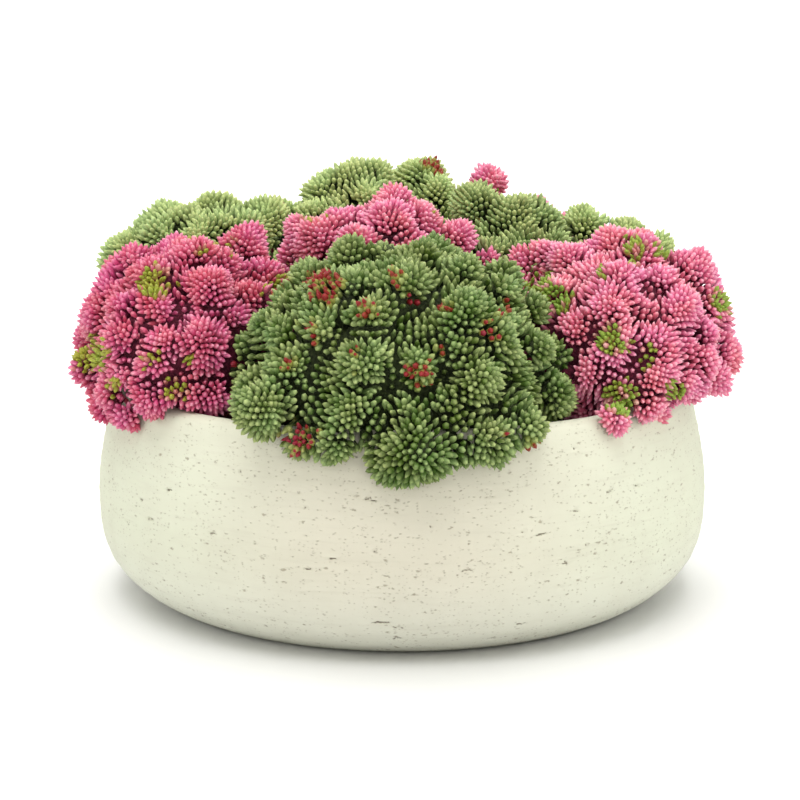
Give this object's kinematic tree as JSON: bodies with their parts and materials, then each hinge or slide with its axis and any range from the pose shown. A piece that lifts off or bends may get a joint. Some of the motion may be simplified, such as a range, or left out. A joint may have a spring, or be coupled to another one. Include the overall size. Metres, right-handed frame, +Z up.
{
  "type": "potted sedum",
  "caption": "Low round cement bowl of soil, filled with a dense mound of pink and green sedum flower heads that hang a little over the rim.",
  "frame": {"origin": "middle of the bowl's flat base, on the surface that it stands on", "axes": "+Z up, -Y towards the front from which the arrangement is seen, +X to the right of that view"},
  "size_m": [0.327, 0.3219, 0.2051],
  "materials": {
    "cement": "matt off-white cement with fine turning lines and small open pits",
    "soil": "dark crumbly potting soil",
    "pink_buds": "satin waxy flower buds, rose pink, deeper between them, some with lime tips",
    "green_buds": "satin waxy flower buds, mid green with lighter tips, some flushed red",
    "stem": "matt fleshy green stem"
  },
  "bodies": {
    "root": {"pot": "cement", "soil": "soil", "head_front": "green_buds", "stem_front": "stem", "head_left": "pink_buds", "stem_left": "stem", "head_right": "pink_buds", "stem_right": "stem", "head_middle": "pink_buds", "stem_middle": "stem", "head_back_left": "green_buds", "stem_back_left": "stem", "head_back_middle": "green_buds", "stem_back_middle": "stem", "head_back_tall": "green_buds", "stem_back_tall": "stem", "head_back_right": "green_buds", "stem_back_right": "stem", "head_far_right": "green_buds", "stem_far_right": "stem", "head_rear_right": "pink_buds", "stem_rear_right": "stem", "head_rear_left": "pink_buds", "stem_rear_left": "stem"}
  },
  "joints": []
}
